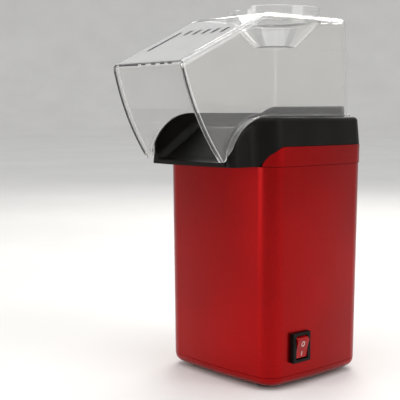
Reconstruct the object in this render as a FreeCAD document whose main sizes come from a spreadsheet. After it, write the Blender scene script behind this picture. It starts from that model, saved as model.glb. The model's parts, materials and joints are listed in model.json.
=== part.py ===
import FreeCAD, Part

import math
import os

import Sketcher
from FreeCAD import Placement, Rotation, Vector

# A hot-air popcorn maker. Millimetres, +Z up. The origin is at the middle of the feet, on the
# table. The chute and spout point along -Y and the switch is on the +X side.

os.makedirs("parts", exist_ok=True)
document = FreeCAD.newDocument("PopcornMaker")

DRIVING_SIZES = {
    # Red housing
    "body_half_width": 63.1,
    "body_half_depth": 58.4,
    "body_corner": 15.8,
    "side_curve": 440.0,
    "side_draft": 0.009,
    "wall": 2.4,
    "base_bottom": 3.2,
    "base_seam": 10.7,
    "body_top": 172.0,
    "collar_top": 187.0,
    "seam_gap": 0.35,
    # Black hood and chute
    "hood_half_width": 64.5,
    "hood_half_depth": 59.8,
    "hood_top": 209.0,
    "hood_draft": 3.3,
    "spout_front": 86.0,
    "floor_top": 200.6,
    "upstand": 3.0,
    "guard_top": 217.5,
    # Clear cover
    "cover_rear": 54.2,
    "cover_rear_half": 48.6,
    "cover_front_half": 41.1,
    "cover_front": 130.0,
    "cover_corner": 12.0,
    "cover_wall": 2.0,
    "cover_draft": 0.022,
    "roof_top": 288.0,
    "ridge_front": 40.0,
    "mouth_front": 124.8,
    "mouth_top": 248.4,
    # Measuring cup
    "cup_y": 10.0,
    "cup_rim": 38.3,
    "cup_neck": 36.6,
    "cup_foot": 16.5,
    "cup_top": 296.0,
    "cup_bottom": 264.5,
    "cup_wall": 1.6,
    # Popping chamber and heater, on the same upright axis as the fan and motor
    "axis_y": 4.0,
    "chamber_radius": 40.0,
    "chamber_bottom": 112.0,
    "chamber_sheet": 1.0,
    "duct_radius": 46.5,
    "duct_sheet": 0.8,
    "duct_plate": 193.0,
    # Fan and motor
    "fan_floor": 62.0,
    "fan_housing_radius": 48.0,
    "fan_housing_top": 98.0,
    "impeller_radius": 38.0,
    "impeller_disc": 86.0,
    "motor_radius": 18.0,
    "motor_bottom": 24.0,
    "motor_top": 60.8,
    "shaft_radius": 1.585,
    # Switch
    "switch_y": -23.5,
    "switch_z": 32.0,
    "switch_face": 60.9,
    "switch_width": 19.2,
    "switch_height": 23.0,
    # Screws
    "screw_radius": 1.5,
    "boss_x": 50.0,
    "boss_y": 45.2,
}


class Size:
    """A length that carries its number and the spreadsheet formula that gives it."""

    def __init__(self, number, formula):
        self.number = float(number)
        self.formula = formula

    def join(self, sign, other, number):
        return Size(number, f"({self.formula} {sign} {formula_of(other)})")

    def __add__(self, other):
        return self.join("+", other, self.number + number_of(other))

    def __sub__(self, other):
        return self.join("-", other, self.number - number_of(other))

    def __rsub__(self, other):
        return Size(number_of(other) - self.number, f"({formula_of(other)} - {self.formula})")

    def __mul__(self, other):
        return self.join("*", other, self.number * number_of(other))

    def __rmul__(self, other):
        return self * other

    def __truediv__(self, other):
        return self.join("/", other, self.number / number_of(other))

    def __neg__(self):
        return self * -1


def number_of(value):
    return value.number if isinstance(value, Size) else float(value)


def formula_of(value):
    return value.formula if isinstance(value, Size) else repr(float(value))


class SizeTable:
    """The spreadsheet's cells, by alias."""


def make_size_table():
    sheet = document.addObject("Spreadsheet::Sheet", "Sizes")
    table = SizeTable()
    for row, (alias, value) in enumerate(DRIVING_SIZES.items(), start=1):
        sheet.set(f"A{row}", alias)
        sheet.set(f"B{row}", str(value))
        sheet.setAlias(f"B{row}", alias)
        setattr(table, alias, Size(value, f"Sizes.{alias}"))
    document.recompute()
    return table


size = make_size_table()
finished = []


# ---------------------------------------------------------------- parametric helpers


def bind(item, name, value):
    """Set a property from a size, and keep it bound to the spreadsheet."""
    if isinstance(value, Size):
        item.setExpression(name, value.formula)
    else:
        setattr(item, name, value)


def place(item, at, turn=None):
    """Put an item at a point, with its coordinates bound where they are sizes."""
    turn = turn or Rotation()
    item.Placement = Placement(Vector(*[number_of(value) for value in at]), turn)
    for letter, value in zip("xyz", at):
        if isinstance(value, Size):
            item.setExpression(f"Placement.Base.{letter}", value.formula)


def cylinder(name, radius, height, at=(0, 0, 0), turn=None):
    item = document.addObject("Part::Cylinder", name)
    bind(item, "Radius", radius)
    bind(item, "Height", height)
    place(item, at, turn)
    return item


def box(name, lengths, at, turn=None):
    item = document.addObject("Part::Box", name)
    for side, value in zip(("Length", "Width", "Height"), lengths):
        bind(item, side, value)
    place(item, at, turn)
    return item


def ring(name, path_radius, wire_radius, at):
    item = document.addObject("Part::Torus", name)
    bind(item, "Radius1", path_radius)
    bind(item, "Radius2", wire_radius)
    place(item, at)
    return item


def fuse(name, items):
    item = document.addObject("Part::MultiFuse", name)
    item.Shapes = items
    item.Refine = True
    return item


def group(name, items):
    """Identical loose pieces that stay separate solids in one sub-part."""
    item = document.addObject("Part::Compound", name)
    item.Links = items
    return item


def cut(name, base, tool):
    item = document.addObject("Part::Cut", name)
    item.Base = base
    item.Tool = tool
    return item


def common(name, base, tool):
    item = document.addObject("Part::Common", name)
    item.Base = base
    item.Tool = tool
    return item


def tube(name, outer, inner, height, at):
    """A plain tube or washer."""
    low = tuple(at[:2]) + (at[2] - 1,)
    skin = cylinder(name + "_outside", outer, height, at)
    bore = cylinder(name + "_bore", inner, height + 2, low)
    return cut(name, skin, bore)


def finish(item, label, on_axis=False):
    """Name an item as a sub-part of the object, and move it to the fan's axis if asked."""
    item.Label = label
    if on_axis:
        place(item, (0, size.axis_y, 0))
    finished.append(item)
    return item


def draw_outline(body, name, plane_role, outline):
    """A closed sketch of straight lines, each corner held by two dimensions from the origin."""
    plane = next(item for item in body.Origin.OriginFeatures if item.Role == plane_role)
    sketch = body.newObject("Sketcher::SketchObject", name + "_sketch")
    sketch.AttachmentSupport = [(plane, "")]
    sketch.MapMode = "FlatFace"
    corners = [Vector(number_of(across), number_of(up), 0) for across, up in outline]
    count = len(corners)
    for index in range(count):
        line = Part.LineSegment(corners[index], corners[(index + 1) % count])
        sketch.addGeometry(line, False)
    for index in range(count):
        sketch.addConstraint(Sketcher.Constraint("Coincident", index, 2, (index + 1) % count, 1))
    for index, corner in enumerate(outline):
        for kind, axis, value in zip(("DistanceX", "DistanceY"), (-2, -1), corner):
            if number_of(value) == 0:
                sketch.addConstraint(Sketcher.Constraint("PointOnObject", index, 1, axis))
                continue
            number = number_of(value)
            added = sketch.addConstraint(Sketcher.Constraint(kind, -1, 1, index, 1, number))
            if isinstance(value, Size):
                sketch.setExpression(f"Constraints[{added}]", value.formula)
    return sketch


def turned(name, outline, at=(0, 0, 0), turn=None):
    """A round piece: (radius, height) corners turned about its own Z axis."""
    body = document.addObject("PartDesign::Body", name)
    sketch = draw_outline(body, name, "XZ_Plane", outline)
    solid = body.newObject("PartDesign::Revolution", name + "_turned")
    solid.Profile = sketch
    solid.ReferenceAxis = (sketch, ["V_Axis"])
    solid.Angle = 360
    body.Tip = solid
    place(body, at, turn)
    return body


def padded(name, outline, thickness, at=(0, 0, 0), turn=None, plane_role="XY_Plane"):
    """A flat piece: an outline padded both ways from its sketch plane."""
    body = document.addObject("PartDesign::Body", name)
    sketch = draw_outline(body, name, plane_role, outline)
    solid = body.newObject("PartDesign::Pad", name + "_pad")
    solid.Profile = sketch
    solid.Midplane = True
    bind(solid, "Length", thickness)
    body.Tip = solid
    place(body, at, turn)
    return body


def edge_names(shape, wanted):
    return [f"Edge{n}" for n, edge in enumerate(shape.Edges, start=1) if wanted(edge)]


def round_edges(body, radius, wanted):
    """Round the edges of a body's last feature that pass a test."""
    document.recompute()
    base = body.Tip
    names = edge_names(base.Shape, wanted)
    solid = body.newObject("PartDesign::Fillet", body.Name + f"_round_{len(body.Group)}")
    solid.Base = (base, names)
    bind(solid, "Radius", radius)
    body.Tip = solid
    return body


def circle_at(height, radius):
    """A test for the circular edges at one height with one radius."""

    def wanted(edge):
        curve = edge.Curve
        if not isinstance(curve, Part.Circle):
            return False
        level = abs(curve.Center.z - number_of(height)) < 0.01
        return level and abs(curve.Radius - number_of(radius)) < 0.01

    return wanted


def corners_of(x, y):
    """The four mirror images of one point."""
    return [(x, y), (-x, y), (-x, -y), (x, -y)]


# ---------------------------------------------------------------- curved-shell helpers


def heading(degrees):
    """A unit vector that many degrees from +X towards +Y."""
    angle = math.radians(degrees)
    return Vector(math.cos(angle), math.sin(angle), 0)


def unit(vector):
    return Vector(vector).normalize()


def arc_about(centre, radius, start, end):
    """The shorter arc about a centre, between the directions of two points."""
    first = unit(start - centre)
    last = unit(end - centre)
    middle = unit(first + last)
    points = [centre + direction * radius for direction in (first, middle, last)]
    return Part.Arc(*points).toShape()


def rounded_chain(points, radii):
    """A closed wire through points, with its corners rounded by tangent arcs."""
    joints = []
    for index, corner in enumerate(points):
        before = unit(points[index - 1] - corner)
        after = unit(points[(index + 1) % len(points)] - corner)
        if radii[index] == 0:
            joints.append([corner])
            continue
        half_turn = before.getAngle(after) / 2
        reach = radii[index] / math.tan(half_turn)
        rise = radii[index] / math.sin(half_turn) - radii[index]
        middle = corner + unit(before + after) * rise
        joints.append([corner + before * reach, middle, corner + after * reach])
    edges = []
    for index, joint in enumerate(joints):
        if len(joint) == 3:
            edges.append(Part.Arc(*joint).toShape())
        following = joints[(index + 1) % len(joints)]
        edges.append(Part.LineSegment(joint[-1], following[0]).toShape())
    return Part.Wire(edges)


def across(face):
    """A face in the YZ plane, extruded through the whole width of the object."""
    half = 100
    return face.translated(Vector(-half, 0, 0)).extrude(Vector(2 * half, 0, 0))


def side_view(corners, radii=None):
    """A solid right across the object from its (y, z) outline seen from the side."""
    points = [Vector(0, y, z) for y, z in corners]
    return across(Part.Face(rounded_chain(points, radii or [0] * len(points))))


def slab_between(low_wire, high_wire):
    return Part.makeLoft([low_wire, high_wire], True, True)


def prism(outline, low, high):
    """An upright solid between two heights from a level outline."""
    start = Vector(0, 0, low - outline.BoundBox.ZMin)
    return Part.Face(outline.translated(start)).extrude(Vector(0, 0, high - low))


def mirrored_wire(right_half, height):
    """A closed level outline from its +X half, which runs from the rear to the front."""
    left_half = [edge.mirror(Vector(), Vector(1, 0, 0)) for edge in reversed(right_half)]
    return Part.Wire(right_half + left_half).translated(Vector(0, 0, height))


def bowed_centres(half_width, half_depth):
    """Centres of the side, rear and corner arcs of a square with bowed sides."""
    curve = size.side_curve.number
    side = Vector(half_width - curve, 0, 0)
    rear = Vector(0, half_depth - curve, 0)
    reach = curve - size.body_corner.number
    apart = rear - side
    rise = math.sqrt(reach**2 - (apart.Length / 2) ** 2)
    return side, rear, (side + rear) / 2 + unit(Vector(-apart.y, apart.x, 0)) * rise


def housing_outline(height, inset):
    """The housing at one height: four bowed sides and four round corners."""
    draft = size.side_draft.number * (height - size.body_top.number)
    half_width = size.body_half_width.number + draft
    half_depth = size.body_half_depth.number + draft
    side, rear, corner = bowed_centres(half_width, half_depth)
    front, front_corner = Vector(0, -rear.y, 0), Vector(corner.x, -corner.y, 0)
    curve = size.side_curve.number - inset
    turn = size.body_corner.number - inset
    to_rear, to_side = corner + unit(corner - rear), corner + unit(corner - side)
    to_front = front_corner + unit(front_corner - front)
    from_side = front_corner + unit(front_corner - side)
    right_half = [
        arc_about(rear, curve, Vector(0, half_depth, 0), corner),
        arc_about(corner, turn, to_rear, to_side),
        arc_about(side, curve, corner, front_corner),
        arc_about(front_corner, turn, from_side, to_front),
        arc_about(front, curve, front_corner, Vector(0, -half_depth, 0)),
    ]
    return mirrored_wire(right_half, height)


def housing_slab(low, high, inset):
    return slab_between(housing_outline(low, inset), housing_outline(high, inset))


def edges_between(shape, first, second):
    """The edges where a face of one kind meets a face of another kind."""
    found = []
    for edge in shape.Edges:
        normals = []
        for face in shape.ancestorsOfType(edge, Part.Face):
            u_low, u_high, v_low, v_high = face.ParameterRange
            normals.append(face.normalAt((u_low + u_high) / 2, (v_low + v_high) / 2))
        if len(normals) != 2:
            continue
        one, other = normals
        if (first(one) and second(other)) or (first(other) and second(one)):
            found.append(edge)
    return found


def faces_up(normal):
    return normal.z > 0.6


def faces_out(normal):
    """True of side and rear walls, and not of the open front."""
    return abs(normal.z) < 0.3 and (abs(normal.x) > 0.5 or normal.y > 0.3)


def shaped(label, shape):
    """A sub-part whose shape is made by the functions above from the sheet's sizes."""
    item = document.addObject("Part::Feature", label)
    item.Shape = shape
    item.Placement = Placement()
    return finish(item, label)


# ---------------------------------------------------------------- red housing

# Places on the base: from the middle for the feet, and from the fan's axis for the rest
FOOT_POSITION = (38.0, 37.5)
LEG_POSITION = (34.0, 22.0)
BOARD_STANDOFFS = [(-46.0, 9.0), (-46.0, -9.0)]
LEG_FOOT = 12.0
SCREW_SEAT = 7.0
SLOT_PITCH = 7.0
BOARD_HEIGHT = 10.0
GLAND_HEIGHT = 24.0


def post_at(place, radius, low, high):
    return Part.makeCylinder(radius, high - low, Vector(place[0], place[1], low))


def from_axis(places):
    return [(x, y + size.axis_y.number) for x, y in places]


def make_body_shell():
    low = size.base_seam.number
    high = size.body_top.number - size.seam_gap.number
    post_top = 42.0
    inside = prism(housing_outline(low, size.wall.number), low - 1, high + 1)
    shell = housing_slab(low, high, 0).cut(inside)
    # A screw post in each corner, on a web that reaches the wall
    posts = []
    pilots = []
    for x, y in corners_of(size.boss_x.number, size.boss_y.number):
        outward = math.degrees(math.atan2(y, x))
        web = Part.makeBox(9, 2.4, post_top - low, Vector(2, -1.2, low))
        web.Placement = Placement(Vector(x, y, 0), Rotation(Vector(0, 0, 1), outward))
        posts += [post_at((x, y), 4.6, low, post_top), web]
        pilots.append(post_at((x, y), size.screw_radius.number + 0.05, low - 1, low + 17))
    reach = prism(housing_outline(low, size.wall.number / 2), low, high)
    shell = shell.fuse([post.common(reach) for post in posts]).cut(pilots)
    # A flat seat and a snap-in hole for the switch, and a round hole for the cord's gland
    face, y, z = size.switch_face.number, size.switch_y.number, size.switch_z.number
    wide, high = size.switch_width.number + 0.4, size.switch_height.number + 0.4
    seat = Part.makeBox(10, wide, high, Vector(face, y - wide / 2, z - high / 2))
    wide, high = wide - 3.2, high - 3.2
    hole = Part.makeBox(20, wide, high, Vector(face - 10, y - wide / 2, z - high / 2))
    gland_hole = Part.makeCylinder(5.1, 20, Vector(0, 45, GLAND_HEIGHT), Vector(0, 1, 0))
    return shell.cut([seat, hole, gland_hole]).removeSplitter()


def collar_side(gap):
    """The side view of the red collar: it sweeps down to the seam at the front corners."""
    low = size.body_top.number
    high = size.collar_top.number - gap
    front = [(-44.5 + gap, high), (-52.9 + gap, 180.5), (-60.0 + gap, low - 3)]
    return side_view([(90, low - 3), (90, high)] + front, [0, 0, 8, 0, 0])


def make_upper_collar():
    """A band round the rear and sides. It is open at the front, under the chute."""
    low, high = size.body_top.number, size.collar_top.number
    proud, open_half = -0.6, 51.0
    inside = prism(housing_outline(size.base_seam.number, size.wall.number), low - 1, high + 1)
    opening = Part.makeBox(2 * open_half, 40, 40, Vector(-open_half, -80, low - 5))
    band = housing_slab(low, high, proud).cut(inside).cut(opening)
    return band.common(collar_side(0.25)).removeSplitter()


def make_base_plate():
    low, seam, wall = size.base_bottom.number, size.base_seam.number, size.wall.number
    seam = seam - size.seam_gap.number
    floor = low + wall
    # The lower edge is rounded in: (height above the bottom, inset)
    rounding = ((0, 5.6), (0.9, 3.4), (2.3, 1.7), (4.1, 0.6), (6.0, 0.15))
    stages = [housing_outline(low + rise, inset) for rise, inset in rounding]
    pan = Part.makeLoft(stages + [housing_outline(seam, 0.15)], True, True)
    spigot = prism(housing_outline(seam, wall + 0.25), seam - 2, seam + 3.5)
    inside = prism(housing_outline(seam, wall + 2.2), floor + 3.5, seam + 4)
    inside_low = prism(housing_outline(seam, wall + 4.5), floor, floor + 4)
    pan = pan.fuse(spigot).cut([inside, inside_low])
    posts = []
    bores = []
    clear_hole = size.screw_radius.number + 0.15
    for place in corners_of(size.boss_x.number, size.boss_y.number):
        # The housing's own post stands on this one, inside the spigot
        bores.append(post_at(place, 5.2, seam, seam + 6))
        posts.append(post_at(place, 5.0, floor - 0.1, seam))
    leg_places = from_axis(corners_of(*LEG_POSITION))
    for place in leg_places:
        posts.append(post_at(place, 5.0, floor - 0.1, LEG_FOOT))
    pan = pan.fuse(posts)
    for place in corners_of(size.boss_x.number, size.boss_y.number) + leg_places:
        bores.append(post_at(place, clear_hole, low - 1, LEG_FOOT + 1))
        bores.append(post_at(place, 3.3, low - 1, SCREW_SEAT))
    for place in corners_of(*FOOT_POSITION):
        bores.append(post_at(place, 2.7, low - 1, floor + 1))
    # Air comes in through slots under the fan
    for index in range(-3, 4):
        length = 52 if abs(index) < 3 else 36
        corner = Vector(index * SLOT_PITCH - 1.6, size.axis_y.number - length / 2, low - 1)
        bores.append(Part.makeBox(3.2, length, 5, corner))
    standoffs = []
    pilots = []
    for place in from_axis(BOARD_STANDOFFS):
        standoffs.append(post_at(place, 3.0, floor - 0.1, BOARD_HEIGHT))
        pilots.append(post_at(place, 1.55, BOARD_HEIGHT - 3.6, BOARD_HEIGHT + 1))
    return pan.cut(bores).fuse(standoffs).cut(pilots).removeSplitter()


def make_rubber_feet():
    """Round feet pushed into the base, each held by the bulb on its stem."""
    floor = size.base_bottom + size.wall
    outline = [(0, 0), (6.2, 0), (7.0, 0.8), (7.0, size.base_bottom), (2.6, size.base_bottom)]
    outline += [(2.6, floor + 0.1), (3.4, floor + 0.4), (2.4, floor + 3.0), (0, floor + 3.0)]
    feet = []
    for index, (x, y) in enumerate(corners_of(*FOOT_POSITION), start=1):
        feet.append(turned(f"foot_{index}", outline, (x, y, 0)))
    return group("feet", feet)


def pan_head_screw(name, seat, shank_length, upward):
    """A pan-head screw driven from a seat, upwards or downwards, with a cross recess."""
    head_radius, head_height, recess = 2.8, 1.8, 0.9
    x, y, z = seat
    head_low = z - head_height if upward else z
    shank_low = z if upward else z - shank_length
    recess_low = head_low if upward else z + head_height - recess
    head = cylinder(name + "_head", head_radius, head_height, (x, y, head_low))
    shank = cylinder(name + "_shank", size.screw_radius, shank_length, (x, y, shank_low))
    bars = []
    for letter, wide, deep in (("a", 2.8, 0.8), ("b", 0.8, 2.8)):
        corner = (x - wide / 2, y - deep / 2, recess_low)
        bars.append(box(f"{name}_bar_{letter}", (wide, deep, recess), corner))
    whole = fuse(name + "_whole", [head, shank])
    return cut(name, whole, fuse(name + "_recess", bars))


def make_screws(name, places, height, shank_length, upward=True):
    screws = []
    for index, (x, y) in enumerate(places, start=1):
        seat = (x, y, height)
        screws.append(pan_head_screw(f"{name}_{index}", seat, shank_length, upward))
    return group(name + "s", screws)


shaped("body_shell", make_body_shell())
shaped("upper_collar", make_upper_collar())
shaped("base_plate", make_base_plate())
finish(make_rubber_feet(), "rubber_feet")
base_screw_places = corners_of(size.boss_x, size.boss_y)
finish(make_screws("base_screw", base_screw_places, SCREW_SEAT, 18), "base_screws")
leg_screws = make_screws("leg_screw", corners_of(*LEG_POSITION), SCREW_SEAT, 16)
finish(leg_screws, "fan_housing_screws", on_axis=True)


# ---------------------------------------------------------------- black hood and chute

# The duct's screws, from the fan's axis, and the level of the plate they hold
DUCT_SCREWS = (38.0, 38.0)
DUCT_PLATE_TOP = 194.2

def cover_outline(height, inset):
    """The clear cover in plan: it narrows towards the mouth and has round rear corners."""
    draft = size.cover_draft.number * (height - size.hood_top.number) + inset
    rear = size.cover_rear.number - draft
    front = -size.cover_front.number
    rear_half = size.cover_rear_half.number - draft
    front_half = size.cover_front_half.number - draft
    corner = size.cover_corner.number - inset
    points = [Vector(front_half, front, height), Vector(rear_half, rear, height)]
    points += [Vector(-rear_half, rear, height), Vector(-front_half, front, height)]
    return rounded_chain(points, [0, corner, corner, 0])


def cover_slab(low, high, inset):
    return slab_between(cover_outline(low, inset), cover_outline(high, inset))


def hood_outline(height, inset):
    """The hood in plan: the housing's shape with a narrower nose that reaches the spout."""
    blend, nose_turn, nose_radius, lip_curve = 12.0, 60.0, 7.0, 290.0
    half_depth = size.hood_half_depth.number
    side, rear, corner = bowed_centres(size.hood_half_width.number, half_depth)
    front_corner = Vector(corner.x, -corner.y, 0)
    leave, lean = heading(-nose_turn), heading(-3.0)
    along = Vector(lean.y, -lean.x, 0)
    blend_centre = front_corner + leave * (size.body_corner.number + blend)
    # The nose corner touches both the leaning side and the bowed lip
    lip_centre = Vector(0, lip_curve - size.spout_front.number, 0)
    track = blend_centre - lean * (blend + nose_radius)
    offset = track - lip_centre
    reach = lip_curve - nose_radius
    travel = math.sqrt(offset.dot(along) ** 2 - offset.dot(offset) + reach**2) - offset.dot(along)
    nose = track + along * travel
    to_lip = nose + unit(nose - lip_centre)
    curve, turn = size.side_curve.number - inset, size.body_corner.number - inset
    side_start, side_end = blend_centre - lean * (blend + inset), nose + lean * (nose_radius - inset)
    right_half = [
        arc_about(rear, curve, Vector(0, half_depth, 0), corner),
        arc_about(corner, turn, corner + unit(corner - rear), corner + unit(corner - side)),
        arc_about(side, curve, corner, front_corner),
        arc_about(front_corner, turn, front_corner * 2 - side, front_corner + leave),
        arc_about(blend_centre, blend + inset, blend_centre - leave, blend_centre - lean),
        Part.LineSegment(side_start, side_end).toShape(),
        arc_about(nose, nose_radius - inset, nose + lean, to_lip),
        arc_about(lip_centre, lip_curve - inset, to_lip, Vector(0, -size.spout_front.number, 0)),
    ]
    return mirrored_wire(right_half, height)


def hood_slab(inset):
    """The hood's outside with its draft, or its inside when inset."""
    low, high = size.body_top.number, size.hood_top.number
    return slab_between(hood_outline(low, inset), hood_outline(high, inset + size.hood_draft.number))


def arched_side(grow):
    """The hood's side view: level, then an elliptical sweep down to the spout."""
    low = 160.0
    centre = Vector(0, -45, size.body_top.number)
    reach = 40.0 + grow
    rise = size.hood_top.number + grow - centre.z
    crest, tip = centre + Vector(0, 0, rise), centre - Vector(0, reach, 0)
    ellipse = Part.Ellipse(tip, crest, centre)
    sweep = ellipse.toShape(ellipse.parameter(tip), ellipse.parameter(crest))
    points = [crest, Vector(0, 90, crest.z), Vector(0, 90, low), Vector(0, tip.y, low), tip]
    edges = [sweep]
    for start, end in zip(points, points[1:]):
        edges.append(Part.LineSegment(start, end).toShape())
    return across(Part.Face(Part.Wire(edges)))


def make_chute_hood():
    wall = size.wall.number
    seam, waist, crest = size.body_top.number, size.collar_top.number, size.hood_top.number
    step = wall + 0.3
    outside = hood_slab(0).common(arched_side(0)).removeSplitter()
    crest_edges = edges_between(outside, faces_up, faces_out)
    outside = outside.makeFillet(4.0, [e for e in crest_edges if e.BoundBox.ZMin > crest - 1])
    # Below its waist the hood steps in, so that the red collar goes round it
    foot = size.base_seam.number
    skirt_outline = housing_outline(foot, step)
    outside = outside.cut(collar_side(0).cut(prism(skirt_outline, seam - 10, crest)))
    inside = prism(housing_outline(foot, step + wall), seam - 7, crest)
    skirt = prism(skirt_outline, seam - 6, waist).cut(inside)
    # An inner wall stands up inside the clear cover, and stops at the spout
    cover_gap = size.cover_wall.number + 0.35
    core = prism(cover_outline(crest + 3, cover_gap), seam + 1, crest + 10)
    front_limit = Part.makeBox(200, 200, 60, Vector(-100, -84.2, seam))
    guard = [(42, crest), (42, crest + size.upstand.number), (51, size.guard_top.number)]
    guard = side_view(guard + [(90, size.guard_top.number), (90, crest)])
    rim = core.common(arched_side(size.upstand.number)).common(front_limit).fuse(core.common(guard))
    solid = outside.fuse(skirt).fuse(rim)
    # The channel: a level floor round the chamber, then a ramp down to the lip
    level, lip = size.floor_top.number, 175.3
    above = [(90, 260), (90, level), (-39.5, level), (-79.5, lip), (-140, lip - 0.6), (-140, 260)]
    channel = prism(cover_outline(crest + 3, cover_gap + 2.0), seam, 260)
    channel = channel.common(side_view(above, [0, 0, 16, 14, 0, 0]))
    channel = channel.makeFillet(6.0, [edge for edge in channel.Edges if beside_floor(edge, level)])
    # Hollow from below, under the floor and inside the skirt and nose
    under_level = level - wall
    below = [(90, 150), (90, under_level), (-38.8, under_level), (-60, 184.8), (-60, 150)]
    under = inside.common(side_view(below))
    inner_plan = prism(hood_outline(crest, size.hood_draft.number + wall), seam + wall, crest)
    side_hollow = inside.common(inner_plan).common(arched_side(-wall)).cut(core)
    nose_side = side_view([(-45, seam + wall), (-45, 194.2), (-76.5, seam + wall)])
    nose_hollow = inner_plan.common(nose_side).common(core)
    axis_y = size.axis_y.number
    chamber_hole = Part.makeCylinder(size.chamber_radius.number + 0.6, 30, Vector(0, axis_y, 180))
    for hollow in (channel, under, side_hollow, nose_hollow, chamber_hole):
        solid = solid.cut(hollow)
    posts = []
    pilots = []
    for place in from_axis(corners_of(*DUCT_SCREWS)):
        posts.append(post_at(place, 4.0, DUCT_PLATE_TOP, under_level + 0.1))
        pilots.append(post_at(place, size.screw_radius.number + 0.05, 180, under_level + 1.2))
    return solid.fuse(posts).cut(pilots).removeSplitter()


def beside_floor(edge, level):
    """True of the edges where the channel's floor meets its side and rear walls."""
    box_of = edge.BoundBox
    off_middle = abs(box_of.Center.x) > 20 or box_of.Center.y > 30
    return off_middle and box_of.ZMax < level + 0.1 and box_of.YMax > -100


shaped("chute_hood", make_chute_hood())


# ---------------------------------------------------------------- clear cover and cup

# Two points on the mouth's bowed edge: its middle, and its lower end above the spout
MOUTH_MIDDLE = Vector(0, -112.2, 212.6)
MOUTH_HEEL = Vector(0, -91.5, 178.5)
# Steam vents in the slope: the middle's x, the rear end's y and the length
VENTS = [(-26.5, -68.0, 33.0)] + [(x, -66.0, 8.0) for x in (-15.6, -5.2, 5.2, 15.6, 26.0)]
VENT_WIDTH = 2.4


def corner_arc(before, corner, after, radius):
    """The start, middle and end of the arc that rounds one corner of a path."""
    back, on = unit(before - corner), unit(after - corner)
    half_turn = back.getAngle(on) / 2
    reach = radius / math.tan(half_turn)
    rise = radius / math.sin(half_turn) - radius
    return corner + back * reach, corner + unit(back + on) * rise, corner + on * reach


def line(start, end):
    return Part.LineSegment(start, end).toShape()


def ridge_line(drop):
    """The roof's front end, its rounded ridge and the top of the slope, each lowered."""
    roof = size.roof_top.number - drop
    rear = Vector(0, 90, roof)
    ridge = Vector(0, -size.ridge_front.number, roof)
    fall = (size.roof_top - size.mouth_top).number / (size.mouth_front - size.ridge_front).number
    # The slope keeps the same thickness as the roof, measured square to it
    ridge.y -= drop * (math.sqrt(1 + fall**2) - 1) / fall
    tip = ridge + Vector(0, -1, -fall) * (size.mouth_front + ridge.y).number
    return rear, ridge, tip


def cover_side():
    """The cover's side view: roof, ridge, slope, bowed mouth, and the edge on the hood."""
    rear, ridge, tip = ridge_line(0)
    first, middle, last = corner_arc(rear, ridge, tip, 25)
    clearance = 0.4
    centre = Vector(0, -45, size.body_top.number)
    crest = centre + Vector(0, 0, size.hood_top.number + clearance - centre.z)
    front = centre - Vector(0, 40 + clearance, 0)
    ellipse = Part.Ellipse(front, crest, centre)
    toe_angle = ellipse.parameter(front) + math.radians(12)
    toe = ellipse.value(toe_angle)
    heel = MOUTH_HEEL
    edges = [
        line(Vector(0, 90, crest.z), rear),
        line(rear, first),
        Part.Arc(first, middle, last).toShape(),
        line(last, tip),
        Part.Arc(tip, MOUTH_MIDDLE, heel).toShape(),
        Part.Arc(heel, Vector(0, -88.2, 176.0), toe).toShape(),
        ellipse.toShape(toe_angle, ellipse.parameter(crest)),
        line(crest, Vector(0, 90, crest.z)),
    ]
    return across(Part.Face(Part.Wire(edges)))


def cover_inside(drop, setback):
    """The space inside the cover, from a little way behind its mouth if set back."""
    rear, ridge, tip = ridge_line(drop)
    first, middle, last = corner_arc(rear, ridge, tip, 25)
    low = 150.0
    edges = [line(rear, first), Part.Arc(first, middle, last).toShape()]
    if setback:
        step = Vector(0, setback, 0)
        start = last + (tip - last) * (1 - setback / (last - tip).Length)
        heel = MOUTH_HEEL + step
        edges += [line(last, start)]
        edges += [Part.Arc(start, MOUTH_MIDDLE + step, heel).toShape()]
        points = [heel, Vector(0, heel.y + 14, low), Vector(0, 90, low), rear]
    else:
        far = tip + (tip - last) * 0.5
        points = [last, far, Vector(0, far.y, low), Vector(0, 90, low), rear]
    for start, end in zip(points, points[1:]):
        edges.append(line(start, end))
    plan = cover_slab(low - 5, size.roof_top.number + 5, drop)
    return plan.common(across(Part.Face(Part.Wire(edges))))


def make_clear_cover():
    wall = size.cover_wall.number
    roof = size.roof_top.number
    outside = cover_slab(160, roof + 8, 0).common(cover_side())
    outside = outside.makeFillet(5.0, edges_between(outside, faces_up, faces_out))
    inside = cover_inside(wall, 3.0)
    inside = inside.makeFillet(3.2, edges_between(inside, faces_up, faces_out))
    mouth = cover_inside(wall + 1.0, 0)
    cover = outside.cut(inside).cut(mouth)
    # The cup drops into a round seat with a short collar under the roof
    seat_at = Vector(0, size.cup_y.number, roof - 4.5)
    hole_radius = size.cup_neck.number + 0.4
    collar = Part.makeCylinder(hole_radius + 2, 3.5, seat_at)
    cover = cover.fuse(collar).cut(Part.makeCylinder(hole_radius, 20, seat_at - Vector(0, 0, 5)))
    # Steam vents through the slope: a long one at one side and a row of short ones
    vents = []
    for x, rear_end, length in VENTS:
        corner = Vector(x - VENT_WIDTH / 2, rear_end - length, 240)
        vents.append(Part.makeBox(VENT_WIDTH, length, 60, corner))
    return cover.cut(vents).removeSplitter()


shaped("clear_cover", make_clear_cover())


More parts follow.
